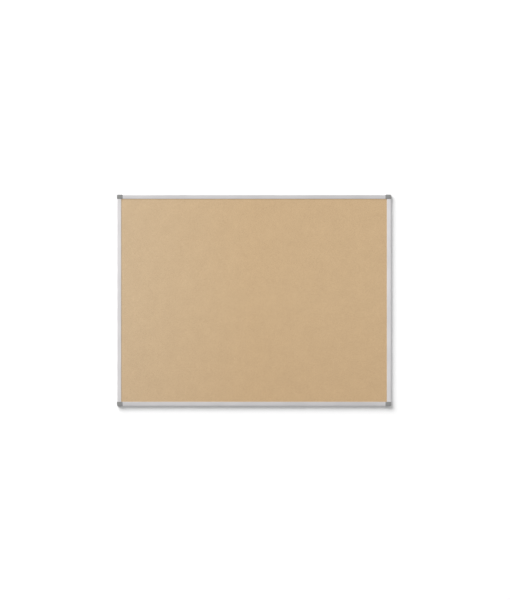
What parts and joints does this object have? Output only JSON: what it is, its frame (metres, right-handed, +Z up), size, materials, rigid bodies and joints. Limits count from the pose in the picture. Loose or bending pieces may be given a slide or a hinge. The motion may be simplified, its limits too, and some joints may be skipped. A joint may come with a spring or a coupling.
{
  "type": "cork bulletin board",
  "caption": "Landscape wall-hung cork bulletin board: cork on a softboard core in a slim satin aluminium frame, with small grey corner caps that pull off to reach the wall fixings.",
  "frame": {"origin": "middle of the four wall-fixing holes, on the plane of the wall at the back of the frame", "axes": "+X to the viewer's right as the board hangs, +Z up, -Y out of the wall towards the viewer"},
  "size_m": [1.2024, 0.0176, 0.9274],
  "materials": {
    "cork": "sanded granulated cork, fine mottled grain",
    "softboard": "pressed wood fibre, rough sawn edges",
    "kraft_paper": "brown kraft paper glued to the core",
    "anodised_aluminium": "satin silver anodised extrusion with faint die lines",
    "cap_plastic": "mid grey moulded ABS with a fine spark-eroded texture",
    "block_plastic": "mid grey moulded ABS, plain",
    "zinc_steel": "bright zinc plated"
  },
  "bodies": {
    "board": {"cork_sheet": "cork", "softboard_core": "softboard", "backing_sheet": "kraft_paper", "rail_top": "anodised_aluminium", "rail_bottom": "anodised_aluminium", "rail_left": "anodised_aluminium", "rail_right": "anodised_aluminium", "block_top_left": "block_plastic", "block_top_right": "block_plastic", "block_bottom_left": "block_plastic", "block_bottom_right": "block_plastic", "rail_screws": "zinc_steel"},
    "cap_top_left_body": {"cap_top_left": "cap_plastic"},
    "cap_top_right_body": {"cap_top_right": "cap_plastic"},
    "cap_bottom_left_body": {"cap_bottom_left": "cap_plastic"},
    "cap_bottom_right_body": {"cap_bottom_right": "cap_plastic"}
  },
  "joints": [
    {"name": "cap_top_left_pull", "type": "slide", "parent": "board", "child": "cap_top_left_body", "axis": [0, -1, 0], "range_m": [0, 0.025]},
    {"name": "cap_top_right_pull", "type": "slide", "parent": "board", "child": "cap_top_right_body", "axis": [0, -1, 0], "range_m": [0, 0.025]},
    {"name": "cap_bottom_left_pull", "type": "slide", "parent": "board", "child": "cap_bottom_left_body", "axis": [0, -1, 0], "range_m": [0, 0.025]},
    {"name": "cap_bottom_right_pull", "type": "slide", "parent": "board", "child": "cap_bottom_right_body", "axis": [0, -1, 0], "range_m": [0, 0.025]}
  ]
}
